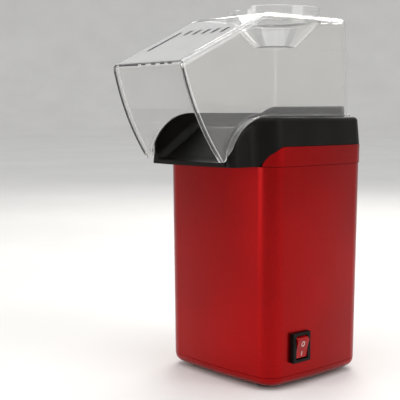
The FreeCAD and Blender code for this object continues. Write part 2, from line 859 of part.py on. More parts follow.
def make_measuring_cup():
    """A conical cup with a broad upright rim, lower on one side to pour from."""
    bottom, top, wall = size.cup_bottom, size.cup_top, size.cup_wall
    neck_low, flange_low = size.roof_top - 4, size.roof_top + 0.3
    inner = size.cup_rim - wall
    outline = [(0, bottom), (size.cup_foot, bottom), (size.cup_neck, neck_low)]
    outline += [(size.cup_neck, flange_low), (size.cup_rim, flange_low), (size.cup_rim, top)]
    outline += [(inner, top), (inner, flange_low + 0.8), (size.cup_neck - wall, neck_low + 0.7)]
    outline += [(size.cup_foot - 0.6, bottom + wall), (0, bottom + wall)]
    cup = turned("cup_turned", outline)
    round_edges(cup, 3.0, circle_at(bottom, size.cup_foot))
    round_edges(cup, 0.5, circle_at(top, size.cup_rim))
    place(cup, (0, size.cup_y, 0))
    dip = cylinder("cup_dip", 45, 6, (0, size.cup_y, top - 2.7), Rotation(Vector(0, 0, 1), -160))
    dip.Angle = 85
    return cut("cup", cup, dip)


finish(make_measuring_cup(), "measuring_cup")


# ---------------------------------------------------------------- popping chamber and heater

MICA_HEIGHT = 4.5
COIL_WIRE = 0.9

def make_popping_chamber():
    """An aluminium pot with a domed floor, a flange near its rim and slanted air louvres."""
    outer, low, sheet = size.chamber_radius, size.chamber_bottom, size.chamber_sheet
    seat, inner, rim = size.duct_plate + 1.2, outer - sheet, size.floor_top - 0.2
    outline = [(0, low + 4), (20, low + 2.5), (32, low), (37, low), (outer, low + 3)]
    outline += [(outer, seat), (45.2, seat), (45.2, seat + sheet), (outer, seat + sheet)]
    outline += [(outer, rim), (inner, rim), (inner, low + 3.4), (36.6, low + sheet)]
    outline += [(32.2, low + sheet), (20, low + 2.5 + sheet), (0, low + 4 + sheet)]
    pot = turned("pot", outline)
    slots = []
    count = 14
    for index in range(count):
        turn = Rotation(Vector(0, 0, 1), 360 / count * index)
        slant = turn.multiply(Rotation(Vector(1, 0, 0), 28))
        corner = turn.multVec(Vector(36, -5, 0))
        slots.append(box(f"louvre_{index + 1}", (8, 11, 1.8), (corner.x, corner.y, low + 12), slant))
    return cut("chamber", pot, fuse("louvres", slots))


def make_heater_duct():
    """A steel can round the chamber, with a square plate that hangs it from the hood."""
    plate_low, half = size.duct_plate, 44.0
    height = plate_low - size.fan_housing_top
    wall = cylinder("duct_wall", size.duct_radius, height, (0, 0, size.fan_housing_top))
    plate = box("duct_plate_sheet", (2 * half, 2 * half, 1.2), (-half, -half, plate_low))
    inner = size.duct_radius - size.duct_sheet
    bore = cylinder("duct_bore", inner, height + 1, (0, 0, size.fan_housing_top - 1))
    holes = [cylinder("duct_mouth", size.chamber_radius + 2.5, 10, (0, 0, plate_low - 5))]
    for index, (x, y) in enumerate(corners_of(*DUCT_SCREWS), start=1):
        holes.append(cylinder(f"duct_hole_{index}", 1.7, 4, (x, y, plate_low - 1)))
    can = cut("duct_can", wall, bore)
    return cut("duct", fuse("duct_sheet_metal", [can, plate]), fuse("duct_holes", holes))


def make_heater_frame():
    """A mica ring with two crossed boards that hold the heating wire off the fan."""
    low, radius = size.fan_housing_top, size.duct_radius - size.duct_sheet - 0.1
    rim = tube("mica_ring", radius, radius - 0.8, 12, (0, 0, low))
    span, middle = 2 * radius - 0.6, 0.3 - radius
    boards = [box("mica_board_x", (span, 1.2, MICA_HEIGHT), (middle, -0.6, low))]
    boards.append(box("mica_board_y", (1.2, span, MICA_HEIGHT), (-0.6, middle, low)))
    return fuse("mica_frame", [rim] + boards)


def make_heater_coil():
    height = size.fan_housing_top + MICA_HEIGHT + COIL_WIRE + 0.05
    turns = [ring(f"coil_{radius}", radius, COIL_WIRE, (0, 0, height)) for radius in (15, 23, 31, 39)]
    return group("coil", turns)


def beside_duct(angle, reach, height):
    """A point at one corner of the duct, and the turn that faces outwards there."""
    turn = Rotation(Vector(0, 0, 1), angle)
    point = turn.multVec(Vector(reach, 0, 0))
    return (point.x, point.y, height), turn


def make_thermostat():
    """A round bimetal thermostat on a flat tab, with two blade terminals."""
    tab_at, outward = beside_duct(45, size.duct_radius.number + 0.1, 114)
    back = outward.multVec(Vector(0, -9, 0))
    tab_corner = (tab_at[0] + back.x, tab_at[1] + back.y, tab_at[2])
    pieces = [box("thermostat_tab", (1.0, 18, 12), tab_corner, outward)]
    disc_at, _ = beside_duct(45, size.duct_radius.number + 1.0, 120)
    disc_turn = outward.multiply(Rotation(Vector(0, 1, 0), 90))
    pieces.append(cylinder("thermostat_disc", 8, 6, disc_at, disc_turn))
    for index, side in enumerate((-4.5, 2.5), start=1):
        shift = outward.multVec(Vector(size.duct_radius.number + 6.9, side, 0))
        blade_at = (shift.x, shift.y, 119.6)
        pieces.append(box(f"thermostat_blade_{index}", (6, 2.0, 0.8), blade_at, outward))
    return fuse("thermostat_all", pieces)


def make_thermal_fuse():
    """A one-shot thermal fuse with its leads."""
    at, _ = beside_duct(135, size.duct_radius.number + 4.0, 118)
    x, y, z = at
    pieces = [cylinder("fuse_case", 2.0, 12, at), cylinder("fuse_leads", 0.5, 26, (x, y, z - 7))]
    return fuse("fuse_all", pieces)


def make_fuse_clip():
    """A sheet clip that holds the fuse against the duct."""
    reach = size.duct_radius.number + 0.1
    low, outward = beside_duct(135, reach, 121)
    back = outward.multVec(Vector(0, -3.5, 0))
    block = box("clip_block", (6.9, 7, 6), (low[0] + back.x, low[1] + back.y, 121), outward)
    at, _ = beside_duct(135, size.duct_radius.number + 4.0, 120)
    return cut("clip_all", block, cylinder("clip_bore", 2.05, 10, at))


finish(make_popping_chamber(), "popping_chamber", on_axis=True)
gasket_at = (0, 0, size.duct_plate + 1.2 + size.chamber_sheet)
gasket_height = size.floor_top - size.wall - gasket_at[2]
gasket = tube("gasket", size.chamber_radius + 2.7, size.chamber_radius + 0.7, gasket_height, gasket_at)
finish(gasket, "chamber_gasket", on_axis=True)
finish(make_heater_duct(), "heater_duct", on_axis=True)
duct_screws = make_screws("duct_screw", corners_of(*DUCT_SCREWS), size.duct_plate, 5.6)
finish(duct_screws, "duct_screws", on_axis=True)
finish(make_heater_frame(), "heater_frame", on_axis=True)
finish(make_heater_coil(), "heater_coil", on_axis=True)
finish(make_thermostat(), "thermostat", on_axis=True)
finish(make_thermal_fuse(), "thermal_fuse", on_axis=True)
finish(make_fuse_clip(), "fuse_clip", on_axis=True)


# ---------------------------------------------------------------- fan and motor

BRACKET_SCREWS = [(27.0, 0.0), (0.0, 27.0), (-27.0, 0.0), (0.0, -27.0)]
MOTOR_SCREWS = [(6.5, 6.5), (-6.5, -6.5)]
BRACKET_SHEET = 1.2


def make_fan_housing():
    """A round fan casing on four legs, with the air intake in its floor."""
    floor, radius, top = size.fan_floor, size.fan_housing_radius, size.fan_housing_top
    casing = cylinder("casing", radius, top - floor, (0, 0, floor))
    solids = [casing]
    hollows = [cylinder("casing_bore", radius - size.wall, 60, (0, 0, floor + size.wall))]
    hollows.append(cylinder("intake", 24, 10, (0, 0, floor - 5)))
    for index, (x, y) in enumerate(corners_of(*LEG_POSITION), start=1):
        solids.append(cylinder(f"leg_{index}", 4.5, floor - LEG_FOOT + 0.5, (x, y, LEG_FOOT)))
        hollows.append(cylinder(f"leg_pilot_{index}", size.screw_radius + 0.05, 14, (x, y, LEG_FOOT - 1)))
    for index, (x, y) in enumerate(BRACKET_SCREWS, start=1):
        hollows.append(cylinder(f"casing_hole_{index}", size.screw_radius + 0.05, 8, (x, y, floor - 4)))
    return cut("fan_casing", fuse("casing_solid", solids), fuse("casing_hollow", hollows))


def make_impeller():
    """A disc with slanted blades under it, on a long hub pressed on the shaft."""
    disc = size.impeller_disc
    blade_low, count = disc - 19, 12
    pieces = [cylinder("impeller_plate", size.impeller_radius, 1.6, (0, 0, disc))]
    pieces.append(cylinder("impeller_hub", 6, 19, (0, 0, disc - 16)))
    for index in range(count):
        turn = Rotation(Vector(0, 0, 1), 360 / count * index)
        root = turn.multVec(Vector(18, 0, 0))
        lean = turn.multiply(Rotation(Vector(0, 0, 1), 32))
        at = (root.x, root.y, blade_low)
        pieces.append(box(f"blade_{index + 1}", (21, 1.4, disc - blade_low + 0.2), at, lean))
    bore = cylinder("impeller_bore", size.shaft_radius, 40, (0, 0, disc - 20))
    return cut("impeller", fuse("impeller_solid", pieces), bore)


def make_armature():
    """Slotted laminations and a commutator on the motor's shaft."""
    low = size.motor_bottom
    core = cylinder("laminations", 12, 20, (0, 0, low + 8))
    commutator = cylinder("commutator", 4, 5, (0, 0, low + 2.5))
    neck = cylinder("winding_neck", 7, 24, (0, 0, low + 6))
    slots = [cylinder("armature_bore", size.shaft_radius, 40, (0, 0, low - 2))]
    for index in range(5):
        turn = Rotation(Vector(0, 0, 1), 72 * index)
        at = turn.multVec(Vector(7.5, -0.8, 0))
        slots.append(box(f"lamination_slot_{index + 1}", (6, 1.6, 22), (at.x, at.y, low + 7), turn))
    whole = fuse("armature_solid", [core, commutator, neck])
    return cut("armature", whole, fuse("armature_slots", slots))


def make_motor_can():
    """A drawn steel can, open below, with a bearing hole in its top."""
    low, top, radius = size.motor_bottom, size.motor_top, size.motor_radius
    skin = cylinder("can_skin", radius, top - low, (0, 0, low))
    hollows = [cylinder("can_bore", radius - 1, top - low - 0.5, (0, 0, low - 1))]
    hollows.append(cylinder("can_bearing", size.shaft_radius + 0.045, 8, (0, 0, top - 5)))
    for index, (x, y) in enumerate(MOTOR_SCREWS, start=1):
        hollows.append(cylinder(f"can_hole_{index}", size.screw_radius + 0.05, 8, (x, y, top - 5)))
    return cut("can", skin, fuse("can_hollow", hollows))


def make_motor_magnets():
    """Two curved magnets inside the can."""
    outer = size.motor_radius - 1.05
    full = tube("magnet_ring", outer, 12.8, 24, (0, 0, size.motor_bottom + 6))
    gap = box("magnet_gap", (40, 8, 30), (-20, -4, size.motor_bottom + 4))
    return cut("magnets", full, gap)


def make_motor_end_cap():
    low = size.motor_bottom
    disc = cylinder("cap_disc", size.motor_radius - 1.05, 2.0, (0, 0, low - 0.5))
    boss = cylinder("cap_boss", 4.5, 2.5, (0, 0, low - 2.5))
    bores = [cylinder("cap_bearing", size.shaft_radius + 0.045, 10, (0, 0, low - 5))]
    for index, x in enumerate((-10, 10), start=1):
        bores.append(box(f"cap_slot_{index}", (0.9, 3.1, 6), (x - 0.45, -1.55, low - 3)))
    return cut("end_cap", fuse("cap_solid", [disc, boss]), fuse("cap_bores", bores))


def make_motor_terminals():
    low = size.motor_bottom - 5
    return group("terminals", [box(f"blade_tab_{x}", (0.8, 3, 6), (x - 0.4, -1.5, low)) for x in (-10, 10)])


def make_motor_bracket():
    """A pressed cross that hangs the motor under the fan casing."""
    low = size.fan_floor - BRACKET_SHEET
    arms = [box("arm_x", (62, 9, BRACKET_SHEET), (-31, -4.5, low))]
    arms.append(box("arm_y", (9, 62, BRACKET_SHEET), (-4.5, -31, low)))
    arms.append(cylinder("bracket_hub", 13, BRACKET_SHEET, (0, 0, low)))
    holes = [cylinder("bracket_bore", 4, 6, (0, 0, low - 2))]
    for index, (x, y) in enumerate(BRACKET_SCREWS + MOTOR_SCREWS, start=1):
        holes.append(cylinder(f"bracket_hole_{index}", size.screw_radius + 0.05, 6, (x, y, low - 2)))
    return cut("bracket", fuse("bracket_solid", arms), fuse("bracket_holes", holes))


finish(make_fan_housing(), "fan_housing", on_axis=True)
finish(make_impeller(), "fan_impeller", on_axis=True)
shaft_low = size.motor_bottom - 4
shaft_length = size.impeller_disc + 2 - shaft_low
shaft = cylinder("shaft", size.shaft_radius, shaft_length, (0, size.axis_y, shaft_low))
finish(shaft, "motor_shaft")
finish(make_armature(), "motor_armature", on_axis=True)
finish(make_motor_can(), "motor_can", on_axis=True)
finish(make_motor_magnets(), "motor_magnets", on_axis=True)
finish(make_motor_end_cap(), "motor_end_cap", on_axis=True)
finish(make_motor_terminals(), "motor_terminals", on_axis=True)
finish(make_motor_bracket(), "motor_bracket", on_axis=True)
bracket_low = size.fan_floor - BRACKET_SHEET
bracket_screws = make_screws("bracket_screw", BRACKET_SCREWS, bracket_low, 3.4)
finish(bracket_screws, "bracket_screws", on_axis=True)
motor_screws = make_screws("motor_screw", MOTOR_SCREWS, size.fan_floor, 3.2, upward=False)
finish(motor_screws, "motor_screws", on_axis=True)


# ---------------------------------------------------------------- rectifier, gland and switch

BOARD_SHEET = 1.6
SWITCH_PIVOT_DEPTH = 1.4
ROCKER_RADIUS = 9.0
ROCKER_TILT = 12.0

def make_rectifier_board():
    board = box("board", (28, 28, BOARD_SHEET), (-52, -14, BOARD_HEIGHT))
    holes = []
    for index, (x, y) in enumerate(BOARD_STANDOFFS, start=1):
        holes.append(cylinder(f"board_hole_{index}", 1.7, 4, (x, y, BOARD_HEIGHT - 1)))
    return cut("board_drilled", board, fuse("board_holes", holes))


def make_diodes():
    """Four diodes that turn the mains into the motor's direct current."""
    diodes = []
    radius, length = 2.4, 8.0
    along_y = Rotation(Vector(1, 0, 0), -90)
    for x in (-40.0, -32.0):
        for y in (-10.5, 2.5):
            at = (x, y, BOARD_HEIGHT + BOARD_SHEET + radius + 0.02)
            diodes.append(cylinder(f"diode_{len(diodes) + 1}", radius, length, at, along_y))
    return group("diodes", diodes)


def make_cord_gland():
    """The bush that the mains cord enters through, in the rear wall."""
    outline = [(3.7, 50), (5.0, 50), (5.0, 57.2), (7.6, 57.2), (7.6, 58.6), (5.8, 61.6), (3.7, 61.6)]
    return turned("gland", outline, (0, 0, GLAND_HEIGHT), Rotation(Vector(1, 0, 0), -90))


def make_gland_nut():
    hexagon = document.addObject("Part::Prism", "nut_hexagon")
    hexagon.Polygon = 6
    hexagon.Circumradius = 8.5
    hexagon.Height = 3.4
    along_y = Rotation(Vector(1, 0, 0), -90)
    place(hexagon, (0, 51, GLAND_HEIGHT), along_y)
    return cut("nut", hexagon, cylinder("nut_bore", 5.0, 20, (0, 45, GLAND_HEIGHT), along_y))


def switch_box(name, low, high, wide, tall):
    """A block centred on the switch, from one distance off the seat to another."""
    corner = (size.switch_face + low, size.switch_y - wide / 2, size.switch_z - tall / 2)
    return box(name, (high - low, wide, tall), corner)


def make_switch_bezel():
    """The switch's frame: a flange on the flat seat and a housing through the wall."""
    solids = [switch_box("bezel_flange", 0, 3.4, size.switch_width, size.switch_height)]
    solids.append(switch_box("bezel_housing", -15, 1, 16.0, 19.8))
    hollows = [switch_box("bezel_cavity", -12.5, 8, 13.0, 18.6)]
    along_y = Rotation(Vector(1, 0, 0), -90)
    pivot = (size.switch_face - SWITCH_PIVOT_DEPTH, size.switch_y - 7.6, size.switch_z)
    hollows.append(cylinder("pivot_holes", 1.25, 15.2, pivot, along_y))
    return cut("bezel", fuse("bezel_solid", solids), fuse("bezel_hollow", hollows))


def make_switch_rocker():
    """A rocker with round ends and a shallow hollow face. Its lower half, for on, is pressed."""
    face, high = 5.5, ROCKER_RADIUS + 1
    outline = [(-4, -3), (-4, 3), (0, high), (face, high), (face - 0.7, 0), (face, -high), (0, -high)]
    pivot = (size.switch_face - SWITCH_PIVOT_DEPTH, size.switch_y, size.switch_z)
    tilt = Rotation(Vector(0, 1, 0), ROCKER_TILT)
    block = padded("rocker_block", outline, 12.4, pivot, tilt, "XZ_Plane")
    along_y = Rotation(Vector(1, 0, 0), -90)
    start = (pivot[0], pivot[1] - 8, pivot[2])
    cap = common("rocker_cap", block, cylinder("rocker_ends", ROCKER_RADIUS, 16, start, along_y))
    pin = cylinder("rocker_pin", 1.2, 14.8, (pivot[0], pivot[1] - 7.4, pivot[2]), along_y)
    return fuse("rocker", [cap, pin])


def make_switch_terminals():
    tabs = []
    low = size.switch_face - 21
    for index, rise in enumerate((-6, 0, 6), start=1):
        corner = (low, size.switch_y - 2.4, size.switch_z + rise - 0.4)
        tabs.append(box(f"switch_tab_{index}", (6, 4.8, 0.8), corner))
    return group("switch_tabs", tabs)


finish(make_rectifier_board(), "rectifier_board", on_axis=True)
finish(make_diodes(), "rectifier_diodes", on_axis=True)
board_top = BOARD_HEIGHT + BOARD_SHEET
board_screws = make_screws("board_screw", BOARD_STANDOFFS, board_top, 5.0, upward=False)
finish(board_screws, "board_screws", on_axis=True)
finish(make_cord_gland(), "cord_gland")
finish(make_gland_nut(), "gland_nut")
finish(make_switch_bezel(), "switch_bezel")
finish(make_switch_rocker(), "switch_rocker")
finish(make_switch_terminals(), "switch_terminals")


# ---------------------------------------------------------------- check and write


def check_document():
    """Stop if any object failed to recompute, or a sub-part has no valid solid."""
    document.recompute()
    for item in document.Objects:
        if "Invalid" in item.State or "Error" in item.State:
            raise RuntimeError(f"{item.Name} failed: {item.State}")
    for item in finished:
        shape = item.Shape
        if shape.isNull() or not shape.isValid() or not shape.Solids:
            raise RuntimeError(f"{item.Label} has no valid solid")


def write_parts():
    for item in finished:
        item.Shape.exportStep(f"parts/{item.Label}.step")
        print(item.Label, len(item.Shape.Solids), round(item.Shape.Volume))


check_document()
write_parts()
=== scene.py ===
import json
import math

import bmesh
import bpy
from mathutils import Matrix, Vector


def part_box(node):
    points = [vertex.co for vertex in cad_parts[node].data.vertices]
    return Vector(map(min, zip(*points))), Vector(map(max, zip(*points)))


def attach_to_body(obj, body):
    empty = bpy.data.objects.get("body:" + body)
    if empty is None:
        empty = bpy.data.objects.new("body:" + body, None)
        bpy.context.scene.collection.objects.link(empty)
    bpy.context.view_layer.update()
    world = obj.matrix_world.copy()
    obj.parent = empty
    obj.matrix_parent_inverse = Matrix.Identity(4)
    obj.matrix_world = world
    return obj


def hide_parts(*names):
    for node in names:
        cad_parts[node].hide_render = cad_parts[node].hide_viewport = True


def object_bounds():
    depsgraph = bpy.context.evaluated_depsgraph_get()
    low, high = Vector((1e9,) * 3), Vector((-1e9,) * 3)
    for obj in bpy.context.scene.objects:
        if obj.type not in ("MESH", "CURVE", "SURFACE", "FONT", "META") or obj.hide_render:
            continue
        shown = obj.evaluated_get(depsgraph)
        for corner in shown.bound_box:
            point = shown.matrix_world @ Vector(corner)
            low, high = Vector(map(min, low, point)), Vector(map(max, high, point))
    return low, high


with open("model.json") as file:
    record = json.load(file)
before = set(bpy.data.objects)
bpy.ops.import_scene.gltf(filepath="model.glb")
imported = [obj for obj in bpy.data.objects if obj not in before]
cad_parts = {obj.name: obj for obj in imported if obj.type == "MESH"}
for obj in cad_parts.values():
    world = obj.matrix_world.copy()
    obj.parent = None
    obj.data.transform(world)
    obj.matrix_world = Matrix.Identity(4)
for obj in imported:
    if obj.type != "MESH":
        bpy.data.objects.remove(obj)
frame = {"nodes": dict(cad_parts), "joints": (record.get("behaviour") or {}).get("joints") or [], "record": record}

# A hot-air popcorn maker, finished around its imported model. Metres, +Z up. The spout points
# along -Y and the switch is on the +X side.

MM = 0.001
# The clear cover, in millimetres, as the model has it. In plan it narrows towards the mouth
COVER_REAR, COVER_FRONT = 54.2, -130.0
COVER_REAR_HALF, COVER_FRONT_HALF = 48.6, 41.1
COVER_DRAFT = 0.022
# Heights and places along Y, in its side view
HOOD_TOP = 209.0
ROOF_TOP, RIDGE_Y = 288.0, -40.0
MOUTH_TIP, MOUTH_MIDDLE, MOUTH_HEEL = (-124.8, 248.4), (-112.2, 212.6), (-91.5, 178.5)
# The hood's arch: a quarter ellipse about a centre, with its reach forward and its rise
ARCH_CENTRE, ARCH_REACH, ARCH_RISE = (-45.0, 172.0), 40.0, 37.0
# Steam slots: the middle's x, and the front and rear ends' y
LONG_SLOT = (-26.5, -101.0, -68.0)
SHORT_SLOTS = [(x, -74.0, -66.0) for x in (-15.6, -5.2, 5.2, 15.6, 26.0)]
# The photograph's viewing angle, in degrees, and the lens that goes with it
CAMERA_AZIMUTH, CAMERA_ELEVATION, CAMERA_DISTANCE = 48.12, 5.51, 0.7555
CAMERA_AIM = Vector((-0.041, -0.0045, -0.0085))
CAMERA_LENS = 81.3
cad_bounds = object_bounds()
nodes = frame["nodes"]


# ---------------------------------------------------------------- material helpers


class Material:
    """A node material. Its methods add one kind of surface detail each."""

    def __init__(self, name, color, roughness, **sockets):
        self.data = bpy.data.materials.new(name)
        self.data.use_nodes = True
        self.tree = self.data.node_tree
        self.shader = self.tree.nodes["Principled BSDF"]
        self.shader.inputs["Base Color"].default_value = (*color, 1)
        self.shader.inputs["Roughness"].default_value = roughness
        for socket, value in sockets.items():
            self.shader.inputs[socket.replace("_", " ")].default_value = value
        self.place = self.add("ShaderNodeTexCoord").outputs["Object"]

    def add(self, kind, **settings):
        node = self.tree.nodes.new(kind)
        for key, value in settings.items():
            setattr(node, key, value)
        return node

    def link(self, source, target):
        self.tree.links.new(source, target)

    def stretched(self, scale):
        """The object's own coordinates, stretched along some axes."""
        mapping = self.add("ShaderNodeMapping")
        mapping.inputs["Scale"].default_value = scale
        self.link(self.place, mapping.inputs["Vector"])
        return mapping.outputs["Vector"]

    def noise(self, scale, detail=3.0, stretch=None, distortion=0.0):
        node = self.add("ShaderNodeTexNoise")
        node.inputs["Scale"].default_value = scale
        node.inputs["Detail"].default_value = detail
        node.inputs["Distortion"].default_value = distortion
        self.link(self.stretched(stretch) if stretch else self.place, node.inputs["Vector"])
        return node.outputs["Fac"]

    def cells(self, scale, feature="F1", stretch=None):
        node = self.add("ShaderNodeTexVoronoi", feature=feature)
        node.inputs["Scale"].default_value = scale
        self.link(self.stretched(stretch) if stretch else self.place, node.inputs["Vector"])
        return node

    def rings(self, scale, distortion=0.0):
        """Fine turned lines around the upright axis."""
        node = self.add("ShaderNodeTexWave", wave_type="RINGS", rings_direction="Z")
        node.inputs["Scale"].default_value = scale
        node.inputs["Distortion"].default_value = distortion
        self.link(self.place, node.inputs["Vector"])
        return node.outputs["Fac"]

    def ramp(self, source, stops):
        node = self.add("ShaderNodeValToRGB")
        elements = node.color_ramp.elements
        while len(elements) < len(stops):
            elements.new(0.5)
        for element, (position, color) in zip(elements, stops):
            element.position = position
            element.color = (*color, 1)
        self.link(source, node.inputs["Fac"])
        return node.outputs["Color"]

    def tint(self, source, low, high, start=0.3, end=0.7):
        """Colour that runs from one shade to another with a texture."""
        self.link(self.ramp(source, [(start, low), (end, high)]), self.shader.inputs["Base Color"])

    def spread(self, source, low, high, start=0.3, end=0.7):
        """Roughness that runs from low to high with a texture."""
        node = self.add("ShaderNodeMapRange")
        values = (start, end, low, high)
        for key, value in zip(("From Min", "From Max", "To Min", "To Max"), values):
            node.inputs[key].default_value = value
        self.link(source, node.inputs["Value"])
        self.link(node.outputs["Result"], self.shader.inputs["Roughness"])

    def relief(self, source, depth, strength=0.3, under=None):
        """Bump from a texture, laid over an earlier bump if one is given."""
        node = self.add("ShaderNodeBump")
        node.inputs["Strength"].default_value = strength
        node.inputs["Distance"].default_value = depth
        self.link(source, node.inputs["Height"])
        if under:
            self.link(under, node.inputs["Normal"])
        self.link(node.outputs["Normal"], self.shader.inputs["Normal"])
        return node.outputs["Normal"]


def mixed(one, other, share):
    return tuple(a + (b - a) * share for a, b in zip(one, other))


# ---------------------------------------------------------------- materials


def red_lacquer():
    """Satin metallic lacquer: tiny flakes under a clear coat with a faint orange peel."""
    deep, bright = (0.19, 0.0008, 0.0012), (0.39, 0.0022, 0.0030)
    material = Material("red_lacquer", bright, 0.32, Metallic=0.93, Coat_Weight=0.08)
    material.shader.inputs["Coat Roughness"].default_value = 0.12
    flakes = material.cells(2600.0)
    tone = material.noise(9.0, 2.0)
    blend = material.add("ShaderNodeMix", data_type="FLOAT")
    blend.inputs[0].default_value = 0.35
    material.link(tone, blend.inputs[2])
    material.link(flakes.outputs["Color"], blend.inputs[3])
    material.tint(blend.outputs[0], deep, bright, 0.2, 0.75)
    material.spread(material.noise(60.0, 4.0), 0.28, 0.36)
    material.relief(material.noise(420.0, 2.0), 0.00012, 0.12)
    return material.data


def black_plastic():
    """Moulded black plastic with a fine spark-eroded grain."""
    dark, light = (0.0035, 0.0031, 0.0027), (0.0065, 0.0058, 0.0051)
    material = Material("black_plastic", dark, 0.42)
    material.shader.inputs["Specular IOR Level"].default_value = 0.10
    material.tint(material.noise(35.0, 4.0), dark, light)
    material.spread(material.noise(90.0, 5.0), 0.34, 0.46)
    coarse = material.relief(material.noise(1500.0, 2.0), 0.0001, 0.22)
    material.relief(material.cells(3200.0).outputs["Distance"], 0.00006, 0.15, coarse)
    return material.data


def clear_plastic(name, tint, haze):
    """Clear moulded plastic: almost even, with faint flow lines and finger haze."""
    material = Material(name, tint, 0.03, Transmission_Weight=0.93, IOR=1.49)
    material.tint(material.noise(14.0, 2.0), mixed(tint, (1, 1, 1), 0.5), tint)
    material.spread(material.noise(22.0, 5.0, distortion=0.8), 0.015, haze, start=0.45, end=0.8)
    material.relief(material.noise(26.0, 1.0, stretch=(1, 1, 0.35)), 0.0004, 0.10)
    return material.data


def painted_edge_shade():
    """Painted shade: dark, nearly opaque plastic laid along a cut edge of the clear cover, for the darker look
    there where light is trapped inside.
    """
    material = Material("painted_edge_shade", (0.03, 0.03, 0.035), 0.12, IOR=1.49)
    material.shader.inputs["Transmission Weight"].default_value = 0.15
    material.tint(material.noise(40.0, 3.0), (0.008, 0.008, 0.012), (0.030, 0.028, 0.034))
    material.spread(material.noise(90.0, 3.0), 0.08, 0.22)
    material.relief(material.noise(500.0, 2.0), 0.00005, 0.1)
    return material.data


def rubber():
    material = Material("foot_rubber", (0.018, 0.018, 0.018), 0.75)
    material.tint(material.noise(160.0, 5.0), (0.012, 0.012, 0.012), (0.03, 0.03, 0.029))
    material.spread(material.noise(300.0, 3.0), 0.65, 0.88)
    material.relief(material.noise(1800.0, 3.0), 0.0001, 0.3)
    return material.data


def silicone():
    material = Material("silicone", (0.55, 0.10, 0.05), 0.5)
    material.tint(material.noise(90.0, 4.0), (0.48, 0.08, 0.04), (0.60, 0.13, 0.07))
    material.spread(material.noise(200.0, 3.0), 0.42, 0.6)
    material.relief(material.noise(900.0, 2.0), 0.0001, 0.2)
    return material.data


def metal(name, dark, light, rough, scale, stretch=None, depth=0.00008):
    """Bare metal whose grain runs along the least stretched axis."""
    material = Material(name, light, rough, Metallic=1.0)
    grain = material.noise(scale, 5.0, stretch=stretch)
    material.tint(grain, dark, light)
    material.spread(material.noise(scale * 0.4, 4.0), rough * 0.8, rough * 1.25)
    material.relief(grain, depth, 0.15)
    return material.data


def galvanised_sheet():
    """Zinc-coated sheet, whose crystals show as flat patches of different grey."""
    material = Material("galvanised_sheet", (0.6, 0.61, 0.62), 0.38, Metallic=1.0)
    spangle = material.cells(190.0)
    material.tint(spangle.outputs["Color"], (0.42, 0.43, 0.45), (0.66, 0.67, 0.68), 0.1, 0.9)
    material.spread(spangle.outputs["Color"], 0.30, 0.48, start=0.1, end=0.9)
    material.relief(spangle.outputs["Distance"], 0.00005, 0.15)
    return material.data


def spun_aluminium():
    """Aluminium spun on a lathe, with fine rings and heat-dulled patches."""
    material = Material("spun_aluminium", (0.78, 0.79, 0.80), 0.3, Metallic=1.0)
    material.tint(material.noise(45.0, 4.0), (0.62, 0.62, 0.61), (0.82, 0.83, 0.84))
    material.spread(material.noise(110.0, 3.0), 0.24, 0.42)
    material.relief(material.rings(520.0, 0.6), 0.00006, 0.25)
    return material.data


def mica():
    """Pressed mica board: layered, flecked and slightly glossy."""
    material = Material("mica", (0.55, 0.42, 0.26), 0.45)
    flecks = material.cells(700.0, stretch=(1, 1, 0.3))
    material.tint(flecks.outputs["Color"], (0.42, 0.31, 0.18), (0.66, 0.53, 0.35), 0.1, 0.9)
    material.spread(flecks.outputs["Color"], 0.3, 0.6, start=0.1, end=0.9)
    material.relief(material.noise(500.0, 4.0), 0.0001, 0.3)
    return material.data


def board_green():
    """Circuit board under green solder resist, with the glass weave faintly showing."""
    material = Material("board_green", (0.02, 0.16, 0.06), 0.35)
    weave = material.add("ShaderNodeTexChecker")
    weave.inputs["Scale"].default_value = 1600.0
    material.link(material.place, weave.inputs["Vector"])
    material.tint(material.noise(250.0, 3.0), (0.012, 0.12, 0.045), (0.03, 0.2, 0.08))
    material.spread(material.noise(120.0, 3.0), 0.28, 0.42)
    material.relief(weave.outputs["Fac"], 0.00004, 0.2)
    return material.data


def moulded(name, dark, light, rough, grain=1400.0):
    """Plain moulded plastic with a slightly uneven shade and a fine grain."""
    material = Material(name, light, rough)
    material.tint(material.noise(60.0, 4.0), dark, light)
    material.spread(material.noise(140.0, 4.0), rough * 0.85, rough * 1.15)
    material.relief(material.noise(grain, 2.0), 0.00008, 0.18)
    return material.data


def copper_windings():
    """Enamelled wire wound round slotted steel."""
    material = Material("copper_windings", (0.7, 0.3, 0.14), 0.35, Metallic=0.9)
    turns = material.noise(900.0, 2.0, stretch=(0.15, 0.15, 1))
    material.tint(turns, (0.42, 0.15, 0.06), (0.78, 0.38, 0.2))
    material.spread(turns, 0.28, 0.45)
    material.relief(turns, 0.0002, 0.4)
    return material.data


def rocker_red():
    """Translucent red plastic, glossy, with light that scatters inside."""
    deep, bright = (0.24, 0.0020, 0.0022), (0.44, 0.0045, 0.0045)
    material = Material("rocker_red", bright, 0.16, IOR=1.5)
    material.shader.inputs["Transmission Weight"].default_value = 0.10
    material.shader.inputs["Coat Weight"].default_value = 0.05
    material.shader.inputs["Specular IOR Level"].default_value = 0.18
    material.shader.inputs["Subsurface Weight"].default_value = 0.06
    material.shader.inputs["Subsurface Scale"].default_value = 0.002
    material.tint(material.noise(120.0, 3.0), deep, bright)
    material.spread(material.noise(260.0, 3.0), 0.12, 0.24)
    material.relief(material.noise(700.0, 1.0), 0.00005, 0.08)
    return material.data


